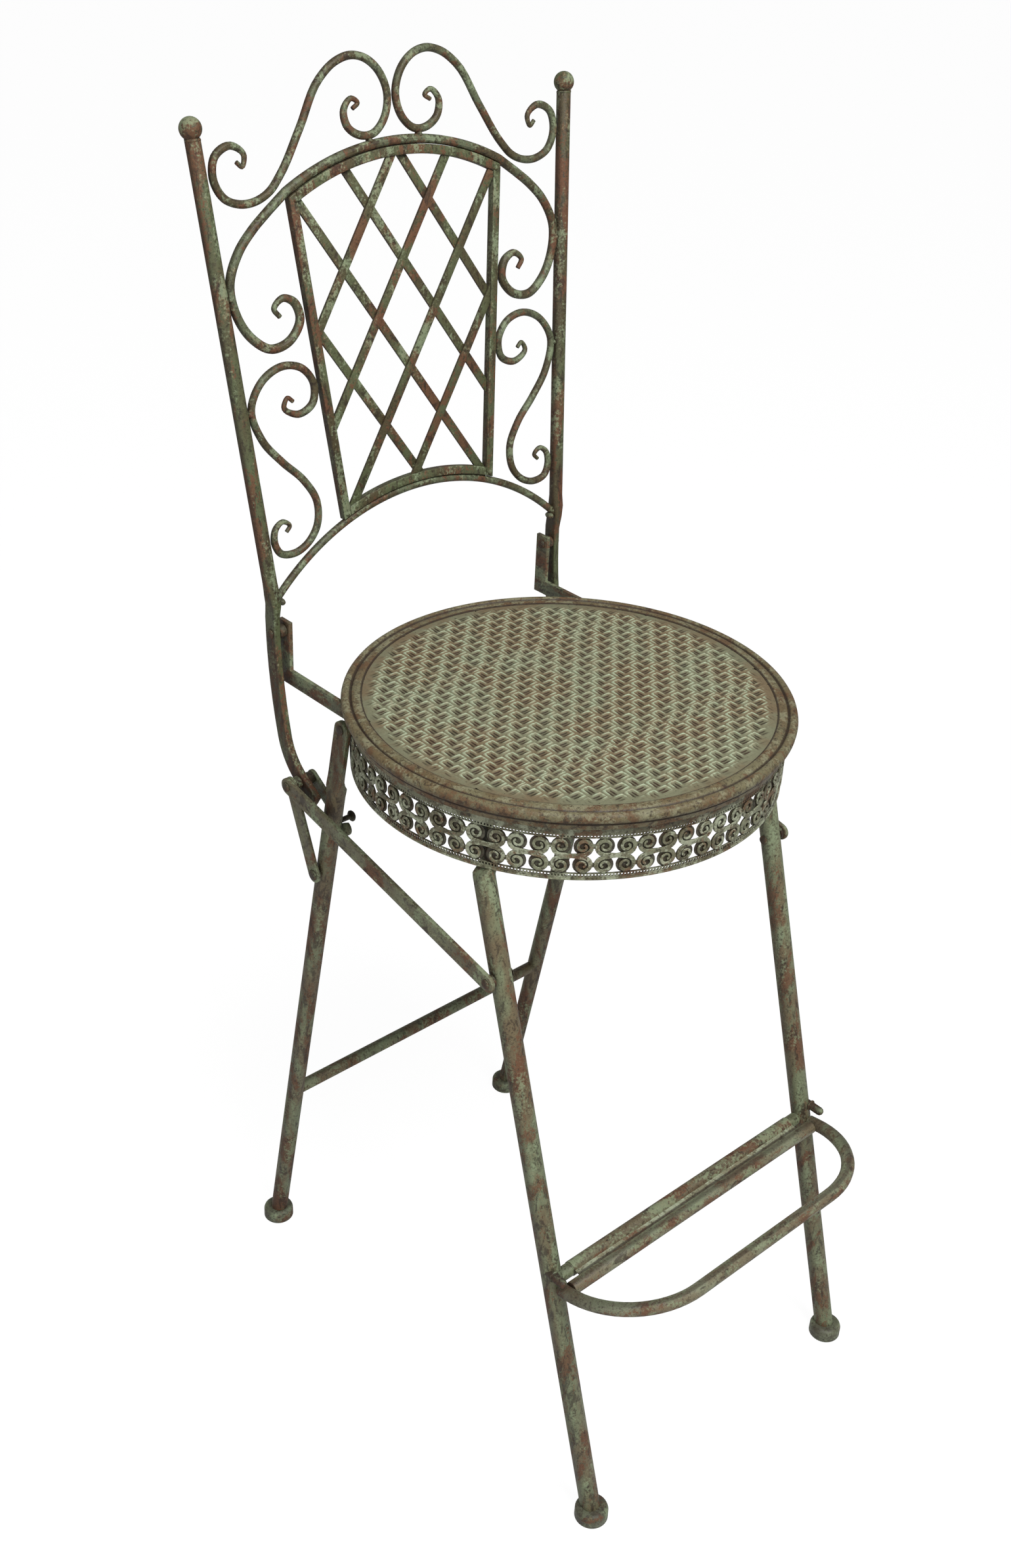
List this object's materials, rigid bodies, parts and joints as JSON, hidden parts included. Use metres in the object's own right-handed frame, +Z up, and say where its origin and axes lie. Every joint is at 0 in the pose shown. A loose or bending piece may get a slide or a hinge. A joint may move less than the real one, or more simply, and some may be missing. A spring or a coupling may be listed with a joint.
{
  "type": "garden chair",
  "caption": "High folding garden chair of round tube and flat bar, with a scrolled lattice back, a round pressed seat on a pierced apron, struts, a catch and a footrest",
  "frame": {"origin": "On the floor, under the middle of the chair's outline box", "axes": "+Z up; the chair faces -Y; +X is to the right of someone who stands in front of it and looks at it"},
  "size_m": [0.4184, 0.5688, 1.2084],
  "materials": {
    "weathered_iron": "matt, worn verdigris paint over rust",
    "pale_iron": "matt, pale verdigris paint",
    "rusty_iron": "matt, rust and thin paint"
  },
  "bodies": {
    "back": {"post_left": "weathered_iron", "post_right": "weathered_iron", "finial_left": "pale_iron", "finial_right": "pale_iron", "big_arch": "weathered_iron", "crest_scroll_left": "weathered_iron", "crest_scroll_right": "weathered_iron", "side_scroll_left": "weathered_iron", "side_scroll_right": "weathered_iron", "panel_rail_top": "pale_iron", "panel_rail_bottom": "pale_iron", "panel_bar_left": "pale_iron", "panel_bar_right": "pale_iron", "lattice_front": "pale_iron", "lattice_rear": "pale_iron", "lower_arch": "weathered_iron", "fold_rivets": "rusty_iron", "strut_bolts": "rusty_iron"},
    "seat": {"seat_pan": "pale_iron", "seat_rim": "pale_iron", "seat_apron": "rusty_iron", "side_rail_left": "weathered_iron", "side_rail_right": "weathered_iron", "front_leg_rivets": "rusty_iron", "rear_leg_rivets": "rusty_iron"},
    "front_legs": {"front_leg_left": "weathered_iron", "front_leg_right": "weathered_iron", "front_cross_bar": "weathered_iron", "front_feet": "rusty_iron", "stop_pegs": "rusty_iron", "strut_rivets": "rusty_iron"},
    "rear_legs": {"rear_leg_left": "weathered_iron", "rear_leg_right": "weathered_iron", "rear_cross_bar": "weathered_iron", "rear_feet": "rusty_iron", "catch_stud": "rusty_iron"},
    "struts": {"strut_left": "weathered_iron", "strut_right": "weathered_iron"},
    "links": {"link_left": "weathered_iron", "link_right": "weathered_iron", "link_rivets": "rusty_iron"},
    "catch": {"catch_plate": "weathered_iron"},
    "footrest": {"footrest_tube": "weathered_iron", "footrest_bow": "weathered_iron", "footrest_clip_left": "pale_iron", "footrest_clip_right": "pale_iron"}
  },
  "joints": [
    {"name": "seat_fold", "type": "hinge", "parent": "back", "child": "seat", "pos_m": [0, 0.22616, 0.738], "axis": [-1, 0, 0], "range_deg": [0, 85]},
    {"name": "strut_turn", "type": "hinge", "parent": "back", "child": "struts", "pos_m": [0, 0.18775, 0.60186], "axis": [-1, 0, 0], "range_deg": [0, 85.1]},
    {"name": "link_turn", "type": "hinge", "parent": "back", "child": "links", "pos_m": [0, 0.18775, 0.60186], "axis": [-1, 0, 0], "range_deg": [0, 119.4]},
    {"name": "front_leg_turn", "type": "hinge", "parent": "seat", "child": "front_legs", "pos_m": [0, -0.0535, 0.68014], "axis": [1, 0, 0], "range_deg": [0, 85.1]},
    {"name": "rear_leg_turn", "type": "hinge", "parent": "seat", "child": "rear_legs", "pos_m": [0, 0.12304, 0.686], "axis": [1, 0, 0], "range_deg": [0, 62.9]},
    {"name": "catch_swing", "type": "hinge", "parent": "back", "child": "catch", "pos_m": [0, 0.18775, 0.60186], "axis": [1, 0, 0], "range_deg": [0, 40]},
    {"name": "footrest_tilt", "type": "hinge", "parent": "front_legs", "child": "footrest", "pos_m": [0, -0.17746, 0.253], "axis": [-1, 0, 0], "range_deg": [0, 6.5]}
  ],
  "couplings": [
    {"joint": "strut_turn", "follows": "seat_fold", "ratio": 1},
    {"joint": "link_turn", "follows": "seat_fold", "ratio": 1.4027},
    {"joint": "front_leg_turn", "follows": "seat_fold", "ratio": 1},
    {"joint": "rear_leg_turn", "follows": "seat_fold", "ratio": 0.739}
  ]
}
